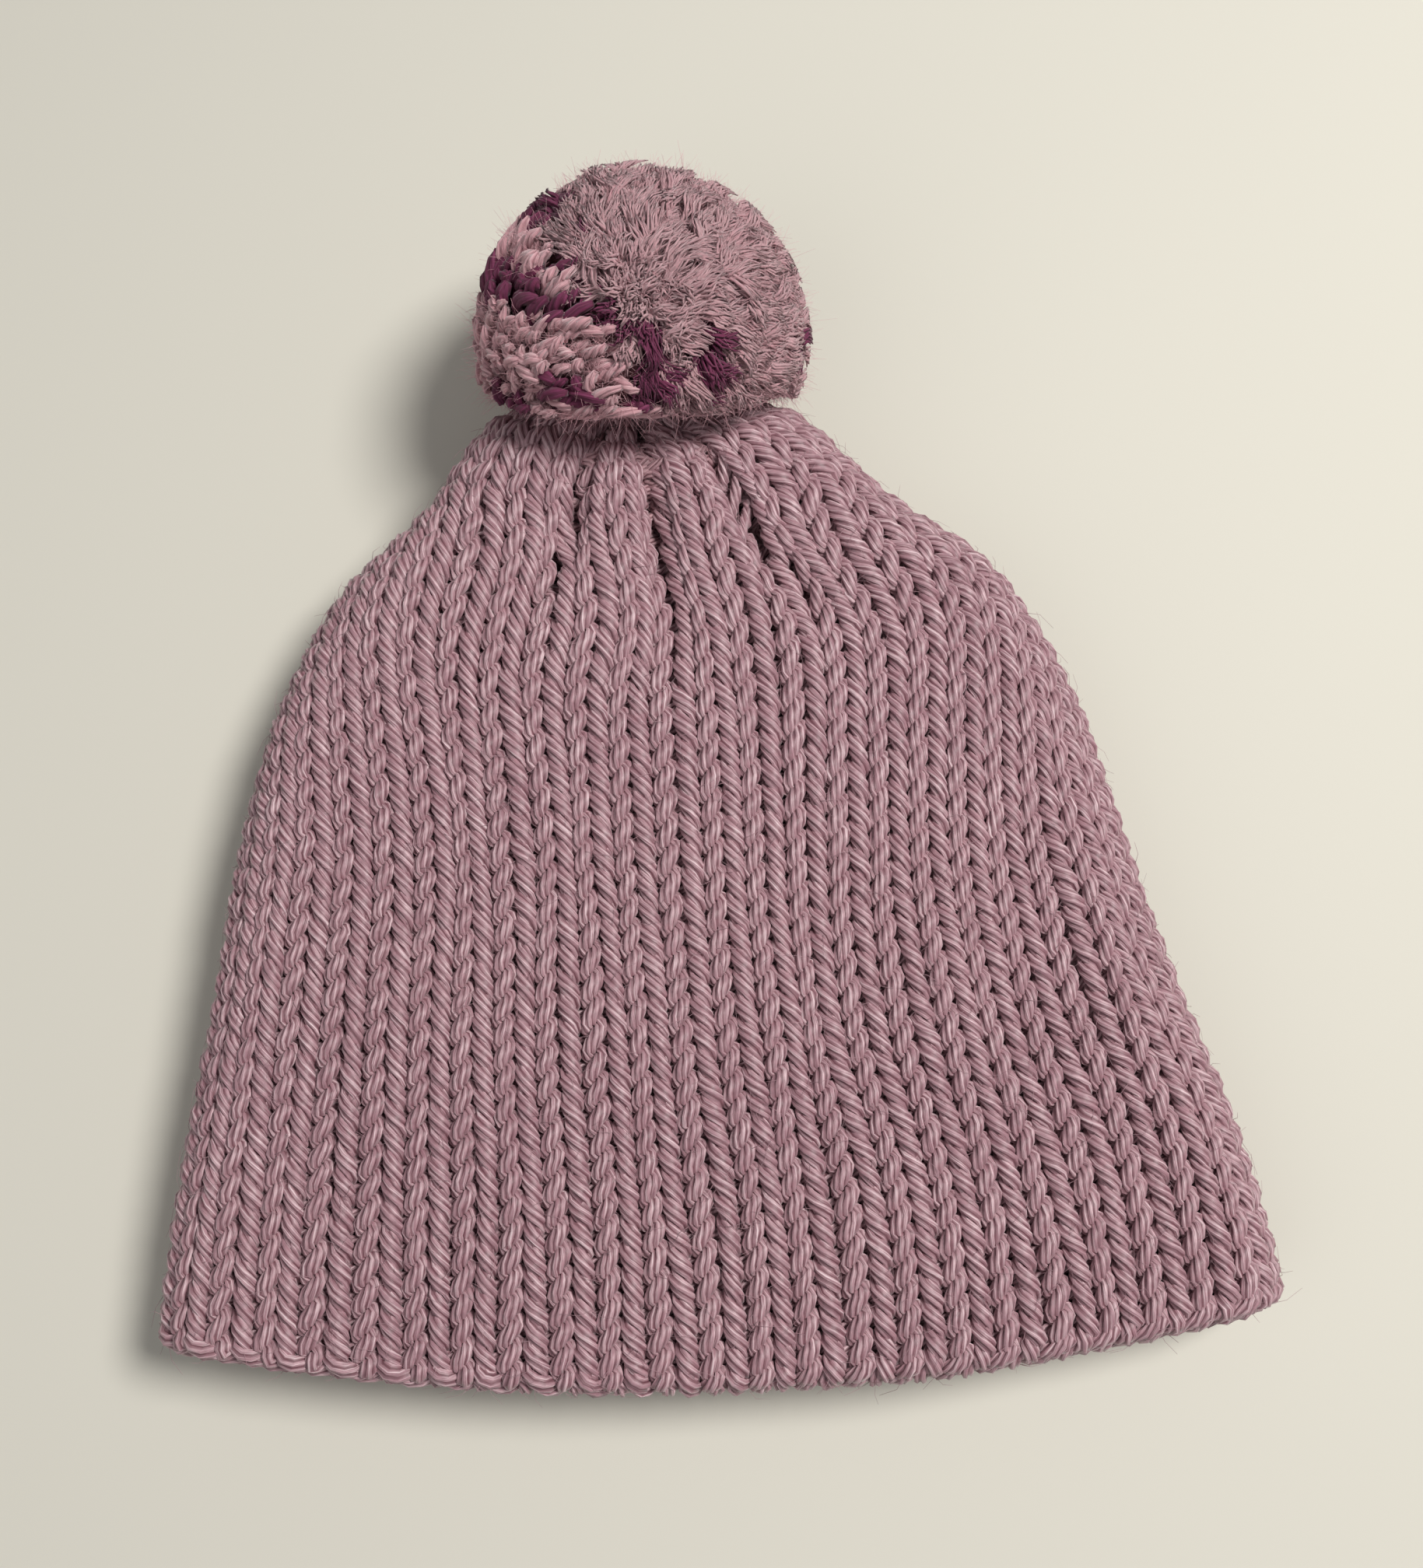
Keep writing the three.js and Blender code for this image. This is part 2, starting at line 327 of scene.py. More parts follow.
def tube_quads(tubes, rings, sides, closed):
    """Quads of many tubes whose points are ordered tube, ring, side."""
    t = np.arange(tubes)[:, None, None]
    p = np.arange(rings if closed else rings - 1)[None, :, None]
    s = np.arange(sides)[None, None, :]
    q, r = (p + 1) % rings, (s + 1) % sides
    corner = [(t * rings + a) * sides + b for a, b in ((p, s), (p, r), (q, r), (q, s))]
    return np.stack(np.broadcast_arrays(*corner), -1).reshape(-1, 4)


def tube_caps(tubes, rings, sides):
    t = np.arange(tubes)[:, None] * rings * sides
    s = np.arange(sides)[None, :]
    return np.concatenate([t + s[:, ::-1], t + (rings - 1) * sides + s])


def tube_uvs(tubes, rings, sides, closed, per_strip):
    """A cell of the unit square for each strip of per_strip ring steps of each tube."""
    steps = rings if closed else rings - 1
    strips = -(-steps // per_strip) * tubes
    columns = 1 if closed else int(np.ceil(np.sqrt(strips / 2)))
    rows = -(-strips // columns)
    t = np.arange(tubes)[:, None, None]
    p = np.arange(steps)[None, :, None]
    s = np.arange(sides)[None, None, :]
    strip = t * (-(-steps // per_strip)) + p // per_strip
    x, y = strip % columns, strip // columns
    out = []
    for a, b in ((0, 0), (0, 1), (1, 1), (1, 0)):
        u = (x + 0.02 + 0.96 * (p % per_strip + a) / per_strip) / columns
        v = (y + 0.04 + 0.92 * (s + b) / sides) / rows
        out.append(np.stack(np.broadcast_arrays(u, v), -1))
    return np.stack(out, 3).reshape(-1, 2)


def sweep(line, up, across_radius, up_radius, phase, profile, closed=False):
    """Points of tubes along lines (tubes, rings, 3), with up near their upper side."""
    if closed:
        ahead = np.roll(line, -1, 1) - np.roll(line, 1, 1)
    else:
        ahead = np.gradient(line, axis=1)
    ahead = unit(ahead)
    up = unit(up - (up * ahead).sum(-1, keepdims=True) * ahead)
    side = np.cross(up, ahead)
    angles, lobes = profile
    theta = phase[..., None] + angles
    ca, cb = np.cos(theta) * lobes, np.sin(theta) * lobes
    return (
        line[:, :, None]
        + side[:, :, None] * (ca * across_radius[..., None])[..., None]
        + up[:, :, None] * (cb * up_radius[..., None])[..., None]
    )


def lobed(plies, depth):
    """Three points a ply: the groove, then two shoulders."""
    step = TAU / plies
    angles = np.concatenate(
        [[k * step, (k + 0.32) * step, (k + 0.68) * step] for k in range(plies)]
    )
    lobes = np.tile([1 - depth, 1.0, 1.0], plies)
    return angles, lobes


def round_yarn(profile, shape):
    """Cosine and sine of each point's angle round its yarn."""
    angles = profile[0]
    return np.broadcast_to(np.stack([np.cos(angles), np.sin(angles)], -1), (*shape, 2))


THREE_SIDED = (np.arange(3) * TAU / 3, np.ones(3))


# ---- Materials ----
def mix(nodes, links, factor, a, b, kind="MIX"):
    node = nodes.new("ShaderNodeMix")
    node.data_type, node.blend_type, node.clamp_factor = "RGBA", kind, True
    for socket, value in ((node.inputs[0], factor), (node.inputs[6], a), (node.inputs[7], b)):
        if isinstance(value, bpy.types.NodeSocket):
            links.new(value, socket)
        else:
            socket.default_value = value
    return node.outputs[2]


def ramp(nodes, links, factor, stops):
    node = nodes.new("ShaderNodeValToRGB")
    while len(node.color_ramp.elements) < len(stops):
        node.color_ramp.elements.new(0.5)
    for element, (at, colour) in zip(node.color_ramp.elements, stops):
        element.position = at
        element.color = (*colour, 1)
    links.new(factor, node.inputs[0])
    return node.outputs[0]


def linear(r, g, b):
    c = np.array([r, g, b]) / 255
    return tuple(np.where(c <= 0.04045, c / 12.92, ((c + 0.055) / 1.055) ** 2.4))


def yarn_material(name, groove, base, pale, tint, sheen=0.15, roughness=0.42, bump=0.4):
    """Spun fibres along the plies, painted shade in the grooves, and tone that drifts along the
    yarn.
    """
    m = bpy.data.materials.new(name)
    m.use_nodes = True
    nodes, links = m.node_tree.nodes, m.node_tree.links
    shader = nodes["Principled BSDF"]
    fibre, ply, tone = (nodes.new("ShaderNodeAttribute") for _ in range(3))
    fibre.attribute_name, ply.attribute_name, tone.attribute_name = "fibre", "ply", "tone"
    streak = nodes.new("ShaderNodeTexNoise")
    streak.inputs["Scale"].default_value = 1.0
    streak.inputs["Detail"].default_value = 3.0
    streak.inputs["Roughness"].default_value = 0.65
    links.new(fibre.outputs["Vector"], streak.inputs["Vector"])
    spots = nodes.new("ShaderNodeTexNoise")
    spots.inputs["Scale"].default_value = 900.0
    spots.inputs["Detail"].default_value = 2.0
    place = nodes.new("ShaderNodeTexCoord")
    links.new(place.outputs["Object"], spots.inputs["Vector"])
    colour = ramp(
        nodes, links, streak.outputs["Fac"], ((0.28, groove), (0.5, base), (0.74, pale))
    )
    body = mix(nodes, links, tone.outputs["Fac"], (*base, 1), (*tint, 1))
    colour = mix(nodes, links, 0.45, colour, body)
    colour = mix(nodes, links, spots.outputs["Fac"], colour, (*pale, 1), "SOFT_LIGHT")
    # Painted shade: where the "ply" attribute is low (grooves between plies, strand roots, the
    # pom-pom core) the colour is multiplied down toward a dark red.
    shade = mix(nodes, links, ply.outputs["Fac"], (0.34, 0.20, 0.23, 1), (1, 1, 1, 1))
    colour = mix(nodes, links, 1.0, colour, shade, "MULTIPLY")
    links.new(colour, shader.inputs["Base Color"])
    rough = nodes.new("ShaderNodeMapRange")
    rough.inputs["To Min"].default_value = roughness - 0.1
    rough.inputs["To Max"].default_value = roughness + 0.15
    links.new(streak.outputs["Fac"], rough.inputs["Value"])
    links.new(rough.outputs["Result"], shader.inputs["Roughness"])
    relief = nodes.new("ShaderNodeBump")
    relief.inputs["Strength"].default_value = bump
    relief.inputs["Distance"].default_value = 0.0004
    links.new(streak.outputs["Fac"], relief.inputs["Height"])
    links.new(relief.outputs["Normal"], shader.inputs["Normal"])
    shader.inputs["Sheen Weight"].default_value = sheen
    shader.inputs["Sheen Roughness"].default_value = 0.4
    shader.inputs["Specular IOR Level"].default_value = 0.6
    return m


MAUVE = yarn_material(
    "mauve_yarn", linear(98, 66, 75), linear(150, 119, 126), linear(254, 236, 238),
    linear(139, 107, 116),
)
LINING = yarn_material(
    "lining_yarn", linear(104, 72, 79), linear(154, 122, 128), linear(226, 202, 204),
    linear(142, 110, 117),
)
POM = yarn_material(
    "pompom_yarn", linear(132, 88, 98), linear(198, 156, 163), linear(248, 220, 220),
    linear(180, 132, 142), sheen=0.4, roughness=0.8, bump=0.9,
)
PURPLE = yarn_material(
    "purple_yarn", linear(60, 12, 42), linear(112, 38, 80), linear(162, 102, 132),
    linear(90, 24, 64), sheen=0.12, roughness=0.8,
)


# ---- The knit's stitches ----
cloth = Cloth()
drift_u, drift_v, fat, deep_noise = Noise(1, 1.3, 7), Noise(2, 2, 3), Noise(3, 1, 1), Noise(4, 1, 1)
tone_noise, lean_noise, wale_noise = Noise(5, 6, 5), Noise(6, 1, 1), Noise(7, 1, 4)


def course_lines(rows, steps, head_depth):
    """Centre lines of whole courses, with the face's normal, local pitch and the yarn's thickness
    factor.
    """
    t = (np.arange(WALES * steps) / steps) * TAU - np.pi
    u_straight = np.arange(WALES * steps) / steps
    local = (t + np.pi) % TAU - np.pi
    lines, ups, pitches, thins = [], [], [], []
    for j in rows:
        centre = np.full(len(t), j + 0.5)
        du, _ = cloth.slopes(u_straight, centre)
        pitch = np.linalg.norm(du, axis=1)
        lean = 1.45 + 0.32 * np.sin(local) + 0.30 * lean_noise(u_straight * 2, centre * 2)
        lean = lean * np.clip(0.65 + 0.35 * (pitch - 4) / 5, 0.3, 1.05)
        swing = 1 / (2 * TAU) + lean / pitch
        swing = swing * (1 + 0.10 * wale_noise(u_straight, centre))
        swing = np.minimum(swing, 0.262)
        u = u_straight + swing * np.sin(2 * local)
        v = centre + 0.93 * np.cos(local)
        u = u + 0.095 * drift_u(u, v)
        v = v + 0.13 * drift_v(u, v)
        front = np.sin(local) ** 2
        thin = np.minimum(0.66 + 0.34 * pitch / 9, pitch / 3.2)
        depth = (YARN + (head_depth - YARN) * (1 - front) ** 0.9) * np.minimum(1, pitch / 3)
        depth = depth + 0.36 * deep_noise(u_straight * 2, centre * 3)
        du, dv = cloth.slopes(u, v)
        normal = unit(np.cross(du, dv))
        lines.append(cloth.at(u, v) - normal * depth[:, None])
        ups.append(normal)
        pitches.append(pitch)
        thin = thin * (1 + 0.13 * smoothstep(j / BODY_ROWS, 0.35, 0.95))
        thin = thin * (1 - 0.04 * np.sin(local)) * (0.86 + 0.20 * front)
        thins.append(thin * (1 + 0.12 * fat(u_straight * 2, centre * 3)))
    return np.array(lines), np.array(ups), np.array(pitches), np.array(thins)


def knit_band(name, rows, steps, profile, head_depth, material):
    rows = list(rows)
    line, up, pitch, thin = course_lines(rows, steps, head_depth)
    length = np.cumsum(np.linalg.norm(np.roll(line, -1, 1) - line, axis=2), axis=1)
    length = np.concatenate([np.zeros((len(rows), 1)), length], 1)
    turns = np.round(length[:, -1] / PLY_TURN)
    phase = -TAU * turns[:, None] * length[:, :-1] / length[:, -1:]
    phase = phase + np.array([(j * 2.399) % TAU for j in rows])[:, None]
    radius = YARN * thin
    points = sweep(line, up, radius, radius * 0.97, phase, profile, closed=True)
    tubes, rings, sides = points.shape[:3]
    lobes = profile[1]
    around = round_yarn(profile, (tubes, rings, sides))
    along = np.broadcast_to(length[:, :-1, None, None] * 0.16, (tubes, rings, sides, 1))
    fibre = np.concatenate([around * 6.5, along + np.array(rows)[:, None, None, None] * 31.7], -1)
    # Painted shade: ply is 0 in the grooves between plies, where the material darkens the colour;
    # PLAIN bands get none.
    ply = np.broadcast_to(lobes == lobes.max(), (tubes, rings, sides))
    u = np.arange(rings) / steps
    tone = np.array([0.5 + 0.5 * tone_noise(u, np.full(rings, j + 0.5)) for j in rows])
    tone = np.broadcast_to(tone[..., None], (tubes, rings, sides))
    return add_mesh(
        name,
        points.reshape(-1, 3),
        tube_quads(tubes, rings, sides, True),
        None,
        tube_uvs(tubes, rings, sides, True, 8 * steps),
        {"fibre": fibre.reshape(-1, 3), "ply": ply.ravel(), "tone": tone.ravel()},
        material,
    )


FINE = lobed(PLIES, 0.29)
PLAIN = (np.arange(10) * TAU / 10, np.ones(10))

for band, rows in enumerate(np.array_split(np.arange(OUTER_ROWS), OUTER_BANDS)):
    name = f"outer_knit_band_{band + 1}"
    piece = knit_band(name, rows, RINGS_A_STITCH, FINE, OUTER_HEADS, MAUVE)
    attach(piece, "hat")
    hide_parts("outer_knit_layer")

fold_rows = range(-FOLD_ROWS, 0)
piece = knit_band("brim_fold_knit", fold_rows, RINGS_A_STITCH, FINE, FOLD_HEADS, MAUVE)
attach(piece, "hat")
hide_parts("brim_fold")

lining_start = -FOLD_ROWS - LINING_ROWS
for band, (first, last, steps, profile) in enumerate(
    (
        (0, 11, 16, FINE),
        (11, 22, 14, PLAIN),
        (22, 33, 14, PLAIN),
        (33, LINING_ROWS, RINGS_A_STITCH, FINE),
    )
):
    rows = range(lining_start + first, lining_start + last)
    name = f"lining_knit_band_{band + 1}"
    piece = knit_band(name, rows, steps, profile, LINING_HEADS, LINING)
    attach(piece, "hat")
    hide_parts("lining_knit_layer")


# ---- The pom-pom ----
TETHER = unit(BALL - PIVOT)
EAST, UP = np.array([1.0, 0, 0]), np.array([0, 0, 1.0])
BESIDE = unit(EAST - TETHER * TETHER[0])
ABOVE = np.cross(BESIDE, TETHER)
FOCUS = (262, 78)  # the strands lean away from this direction, azimuth and elevation
PURPLE_ARCS = (  # bundle, the two ends of its arc on the ball's face, and its half width in degrees
    (1, (130, 26), (138, 54), 6.0),
    (1, (141, 27), (141, 44), 4.5),
    (1, (144, 57), (163, 72), 1.6),
    (2, (162, 16), (183, 46), 6.6),
    (2, (183, 46), (205, 58), 5.2),
    (2, (173, 59), (186, 67), 3.0),
    (3, (213, 63), (256, 68), 4.2),
    (3, (214, 74), (227, 72), 2.2),
    (4, (279, 65), (276, 54), 4.2),
    (4, (276, 54), (274, 42), 5.0),
    (5, (312, 53), (302, 40), 4.2),
    (6, (349, 12), (351, 0), 4.5),
    (7, (205, 13), (221, 16), 6.0),
    (8, (232, 37), (243, 39), 4.5),
)
BIN_RHO, BIN_PHI, RHO_BINS = 3.0, 12, 16  # mm, degrees, count


def toward(azimuth, elevation):
    a, e = np.radians(azimuth), np.radians(elevation)
    return np.array([np.cos(e) * np.cos(a), np.cos(e) * np.sin(a), np.sin(e)])


def round_tether(points):
    """Height along the tether's line above the pivot, distance from that line, bearing round it."""
    away = points - PIVOT
    x, y = away @ BESIDE, away @ ABOVE
    return away @ TETHER, np.hypot(x, y), np.arctan2(y, x)


def crown_cell(rho, phi):
    """The cell of CROWN_TOP for a distance from the tether's line and a bearing round it."""
    ring = np.minimum(rho / BIN_RHO, RHO_BINS - 1).astype(int)
    return ring, (np.degrees(phi) // BIN_PHI).astype(int)


def crown_top():
    """How high the knit reaches in each cell of distance and bearing, cells beside it included."""
    u, v = np.meshgrid(np.arange(0, WALES, 0.25), np.linspace(22, OUTER_ROWS, 66))
    height, rho, phi = round_tether(cloth.at(u.ravel(), v.ravel()))
    top = np.full((RHO_BINS, 360 // BIN_PHI), -40.0)
    np.maximum.at(top, crown_cell(rho, phi), height)
    wide = np.pad(top, ((1, 1), (0, 0)), "edge")
    wide = np.maximum(np.maximum(wide[:-2], wide[2:]), top)
    return np.maximum(np.maximum(np.roll(wide, 1, 1), np.roll(wide, -1, 1)), wide)


CROWN_TOP = crown_top()


def short_of_clear(points, radius):
    """How far points are inside the crown or what the ball's underside leaves free."""
    height, rho, phi = round_tether(points)
    top = CROWN_TOP[crown_cell(rho, phi)]
    rim = -2.0 + 2.2 * np.cos(phi) + 1.8 * np.maximum(np.sin(phi), 0)
    rim = rim - 6.0 * np.minimum(np.sin(phi), 0)
    wanted = lerp(2.4, rim, smoothstep(rho, 6, 24))
    return np.maximum(wanted, top + 0.35) + radius - height


def keep_clear(points, radius):
    points = points + np.maximum(short_of_clear(points, radius), 0)[..., None] * TETHER
    points[..., 2] = np.maximum(points[..., 2], radius + 0.2)
    return points


def free_reach(directions):
    """How far a strand can run from the ball's centre in each direction."""
    steps = np.arange(8.0, 36.0, 0.5)
    points = BALL + directions[:, None] * steps[:, None]
    blocked = (short_of_clear(points, 0.8) > 0) | (points[..., 2] < 1.0)
    return np.where(blocked.any(1), steps[blocked.argmax(1)] - 0.5, 36.0)


def purple_bundle(seen, rng):
    """The bundle that each direction belongs to, or 0."""
    found = np.zeros(len(seen), int)
    for number, start, stop, width in PURPLE_ARCS:
        a, b = toward(*start), toward(*stop)
        for t in np.linspace(0, 1, 9):
            loose = width * (1 + 0.2 * rng.standard_normal(len(seen)))
            found[seen @ unit(lerp(a, b, t)) > np.cos(np.radians(np.maximum(loose, 0.5)))] = number
    return found


def ball_directions(count, rng):
    """Even directions over the ball, leaving out those that point into the crown."""
    k = np.arange(count) + 0.5
    z, a = 1 - 2 * k / count, k * np.pi * (3 - 5**0.5)
    r = np.sqrt(1 - z * z)
    d = np.stack([r * np.cos(a), r * np.sin(a), z], -1)
    d = unit(d + rng.normal(0, 0.6 / np.sqrt(count), d.shape))
    return d[(d @ TETHER > np.cos(np.radians(150))) & (free_reach(d) > 11)]


def tangent_to(directions, way):
    return unit(way - directions * (way * directions).sum(-1, keepdims=True))


def strand_lines(tips, way, turn, depth, outer, rings):
    """Lines that rise from inside the ball and turn over toward way, with their directions."""
    s = np.linspace(0, 1, rings)[None, :, None]
    angle = turn[:, None, None] * (1 - s**1.3)
    d = tips[:, None] * np.cos(angle) - way[:, None] * np.sin(angle)
    reach = outer[:, None, None] * (1 - depth * (1 - s) ** 1.8)
    return BALL + d * reach, d


def strand_piece(name, line, up, radius, profile, phase, tone, material, tip):
    """Strands as one mesh. tip lists the last rings' shares of the radius."""
    tubes, rings = line.shape[:2]
    ends = np.ones(rings)
    ends[-len(tip) :] = tip
    radii = radius[:, None] * ends
    points = sweep(line, up, radii, radii, phase, profile)
    sides = points.shape[2]
    lobes = profile[1]
    around = round_yarn(profile, (tubes, rings, sides)) * 4.0
    along = np.linspace(0, 1.6, rings)[None, :, None, None]
    along = along + np.arange(tubes)[:, None, None, None] * 7.3
    fibre = np.concatenate([around, np.broadcast_to(along, (tubes, rings, sides, 1))], -1)
    # Painted shade: "ply" darkens the strands toward their roots deep in the ball, and in their ply
    # grooves (0.45).
    light = smoothstep(np.linspace(0, 1, rings), -0.6, 0.8)[None, :, None]
    groove = np.where(lobes == lobes.max(), 1.0, 0.45)
    light = np.broadcast_to(light * groove, (tubes, rings, sides))
    tones = np.broadcast_to(tone[:, None, None], (tubes, rings, sides))
    uvs = np.concatenate(
        [tube_uvs(tubes, rings, sides, False, rings - 1), np.full((tubes * 2 * sides, 2), 0.001)]
    )
    return add_mesh(
        name,
        points.reshape(-1, 3),
        tube_quads(tubes, rings, sides, False),
        tube_caps(tubes, rings, sides),
        uvs,
        {"fibre": fibre.reshape(-1, 3), "ply": light.ravel(), "tone": tones.ravel()},
        material,
    )


def show_on_ball(piece, node):
    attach(piece, "pompom")
    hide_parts(node)


def is_coarse(d, past):
    """The ball's lower left, where the cut yarns stayed together.

    past is how far inside its edge a direction has to be.
    """
    a, b = toward(128, 30), toward(276, 48)
    edge = unit(np.cross(b, a))
    return (d @ edge > past) & (d @ toward(215, 10) > past - 0.12)


def lay_strands(
    kind, tips, way, turn, depth, reach, rings, helix, crimps, radius, profile, spin, tip
):
    """Locks of strands: helix is how far each strand winds round its lock at the root and tip."""
    rng = np.random.default_rng(len(kind))
    plies = 1 if helix is None else STRANDS_A_LOCK
    line, d = strand_lines(tips, way, turn, depth, reach, rings)
    side = unit(np.cross(d, way[:, None]))
    up = unit(np.cross(side, d))
    s = np.linspace(0, 1, rings)[None, :, None]
    wave = rng.uniform(0.25, 0.65, (len(tips), 1, 1)) * s**0.5 * (1 if helix else 2)
    crimp = rng.uniform(*crimps, (len(tips), 1, 1)) * s + rng.uniform(0, TAU, (len(tips), 1, 1))
    line = line + side * wave * np.sin(crimp) + up * 0.5 * wave * np.cos(1.3 * crimp)
    seen = unit(line[:, -3] - BALL)
    bundle = purple_bundle(seen, rng)
    tone = rng.uniform(0, 1, len(tips))
    strands, ups, tones, bundles = [], [], [], []
    for ply in range(plies):
        offset = 0
        if helix:
            open_by = rng.uniform(0.75, 1.3, (len(tips), 1, 1))
            winding = 2.4 * ply + 2.4 * s + rng.uniform(-0.5, 0.5, (len(tips), 1, 1))
            far = lerp(helix[0], helix[1], s**2) * open_by * np.sqrt((ply + 0.5) / plies)
            offset = far * (side * np.cos(winding) + up * np.sin(winding))
            offset = offset + up * rng.normal(0, 0.5, (len(tips), 1, 1)) * s**3
            curl = rng.uniform(12, 20, (len(tips), 1, 1)) * s
            curl = curl + rng.uniform(0, TAU, (len(tips), 1, 1))
            offset = offset + 0.3 * s**0.5 * (side * np.sin(curl) + up * np.cos(curl))
        strands.append(line + offset)
        ups.append(up)
        tones.append(np.clip(tone + rng.normal(0, 0.15, len(tips)), 0, 1))
        bundles.append(bundle)
    line, up = np.concatenate(strands), np.concatenate(ups)
    tone, bundle = np.concatenate(tones), np.concatenate(bundles)
    thick = rng.uniform(*radius, len(line))
    line = keep_clear(line, thick[:, None] + rng.uniform(0, 1.4, (len(line), 1)))
    phase = -spin * np.linspace(0, 1, rings)[None, :] + rng.uniform(0, TAU, (len(line), 1))
    for number in range(BUNDLES + 1):
        material, slot, node = PURPLE, "pompom_purple", f"purple_strands_{number}"
        if number == 0:
            material, slot, node = POM, "pompom_mauve", "pompom_strands"
        chosen = np.flatnonzero(bundle == number)
        if not len(chosen):
            continue
        for part, some in enumerate(np.array_split(chosen, 1 + len(chosen) // STRANDS_A_PIECE)):
            piece = strand_piece(
                f"{node}_{kind}_{part + 1}", line[some], up[some], thick[some], profile,
                phase[some], tone[some], material, tip,
            )
            show_on_ball(piece, node)


def pompom():
    rng = np.random.default_rng(7)
    focus = toward(*FOCUS)
    tips = ball_directions(FINE_LOCKS, rng)
    tips = tips[~is_coarse(tips + rng.normal(0, 0.04, tips.shape), 0.09)]
    apart = np.arccos(np.clip(tips @ focus, -1, 1))
    way = tangent_to(tips, -np.broadcast_to(focus, tips.shape))
    way = tangent_to(tips, way + rng.normal(0, 0.34, tips.shape))
    turn = np.radians(19) * smoothstep(apart, -0.1, 0.5) * (1 - 0.65 * smoothstep(apart, 1.1, 2.2))
    turn = turn * rng.uniform(0.6, 1.3, len(tips))
    reach = np.minimum(BALL_RADIUS - 0.9 + rng.normal(0, 1.1, len(tips)), free_reach(tips))
    lay_strands(
        "fine", tips, way, turn, 0.38, reach, 9, (0.7, 1.9), (9, 15), (0.24, 0.42), THREE_SIDED, 0,
        (1, 0.96, 0.8, 0.4),
    )
    tips = ball_directions(COARSE_STRANDS, rng)
    tips = tips[is_coarse(tips + rng.normal(0, 0.04, tips.shape), 0)]
    way = tangent_to(tips, np.array([1.0, 0.1, 0.3]) + rng.normal(0, 0.33, tips.shape))
    turn = np.radians(rng.uniform(14, 32, len(tips)))
    reach = np.minimum(BALL_RADIUS - 1.2 + rng.normal(0, 0.9, len(tips)), free_reach(tips) - 0.8)
    lay_strands(
        "coarse", tips, way, turn, 0.40, reach, 11, None, (4, 8), (1.05, 1.5), lobed(4, 0.36), 9,
        (1, 1, 1, 0.88, 0.55),
    )


def pompom_core():
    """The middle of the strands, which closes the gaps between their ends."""
    made = bmesh.new()
    bmesh.ops.create_icosphere(made, subdivisions=5, radius=1.0)
    mesh = bpy.data.meshes.new("pompom_core")
    made.to_mesh(mesh)
    made.free()
    co = np.zeros(len(mesh.vertices) * 3)
    mesh.vertices.foreach_get("co", co)
    d = unit(co.reshape(-1, 3))
    wave = np.sin(d @ np.array([31, 17, 11.0])) * np.sin(d @ np.array([-13, 29, 23.0]))
    points = keep_clear(BALL + d * (CORE_RADIUS + 1.1 * wave[:, None]), 3.0)
    mesh.vertices.foreach_set("co", (points * 0.001).astype(np.float32).ravel())
    # Painted shade: ply 0.35 darkens the whole core, the deep middle of the ball.
    for name, value in (("ply", 0.35), ("tone", 1.0)):
        attribute = mesh.attributes.new(name, "FLOAT", "POINT")
        attribute.data.foreach_set("value", np.full(len(d), value, np.float32))
    attribute = mesh.attributes.new("fibre", "FLOAT_VECTOR", "POINT")
    attribute.data.foreach_set("vector", (d * 40).astype(np.float32).ravel())
    mesh.polygons.foreach_set("use_smooth", np.ones(len(mesh.polygons), bool))
    mesh.materials.append(POM)
    core = bpy.data.objects.new("pompom_core", mesh)
    bpy.context.scene.collection.objects.link(core)
    show_on_ball(core, "pompom_strands")


pompom()
pompom_core()


# ---- The yarns that hold it together ----
def yarn_piece(name, line, up, radius, body, node, material, closed=False):
    line, up = np.array(line, float)[None], np.array(up, float)[None]
    rings = line.shape[1]
    length = np.linspace(0, np.linalg.norm(np.diff(line[0], axis=0), axis=1).sum(), rings)
    turns = length[-1] / DRAWN_PLY_TURN
    if closed:
        turns = max(1, round(turns))
    phase = -TAU * turns * (np.arange(rings) / (rings if closed else rings - 1))[None]
    radii = np.full((1, rings), radius)
    if not closed:
        radii[:, [0, -1]] *= 0.45
        radii[:, [1, -2]] *= 0.88
    profile = lobed(4, 0.24)
    points = sweep(line, up, radii, radii, phase, profile, closed=closed)
    sides = points.shape[2]
    lobes = profile[1]
    around = round_yarn(profile, (1, rings, sides))
    s = np.broadcast_to(length[None, :, None, None] * 0.2, (1, rings, sides, 1))
    piece = add_mesh(
        name,
        points.reshape(-1, 3),
        tube_quads(1, rings, sides, closed),
        None if closed else tube_caps(1, rings, sides),
        None,
        {
            "fibre": np.concatenate([around * 5, s], -1).reshape(-1, 3),
            # Painted shade: ply is 0 in the grooves between plies, where the material darkens the
            # colour.
            "ply": np.broadcast_to(lobes == lobes.max(), (rings, sides)).ravel(),
            "tone": np.full(rings * sides, 0.5),
        },
        material,
    )
    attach(piece, body)
    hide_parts(node)


def ring_line(centre, a, b, radius, count):
    t = np.arange(count)[:, None] / count * TAU
    out = np.cos(t) * a + np.sin(t) * b
    return centre + out * radius, out


def straight_line(start, stop, count):
    line = lerp(np.array(start), np.array(stop), np.linspace(0, 1, count)[:, None])
    up = np.cross(unit(np.array(stop) - np.array(start)), [1, 0, 0.01])
    return line, np.broadcast_to(up, line.shape)


for name, y, material in (
    ("outer_drawstring", 71.5, MAUVE),
    ("lining_drawstring", 66.1, LINING),
):
    line, out = ring_line(np.array([CROWN_X, y, EYE_HEIGHT]), EAST, UP, DRAWSTRING_RING, 40)
    yarn_piece(
        f"{name}_yarn", line, out, DRAWN_YARN, "hat", name, material, closed=True
    )

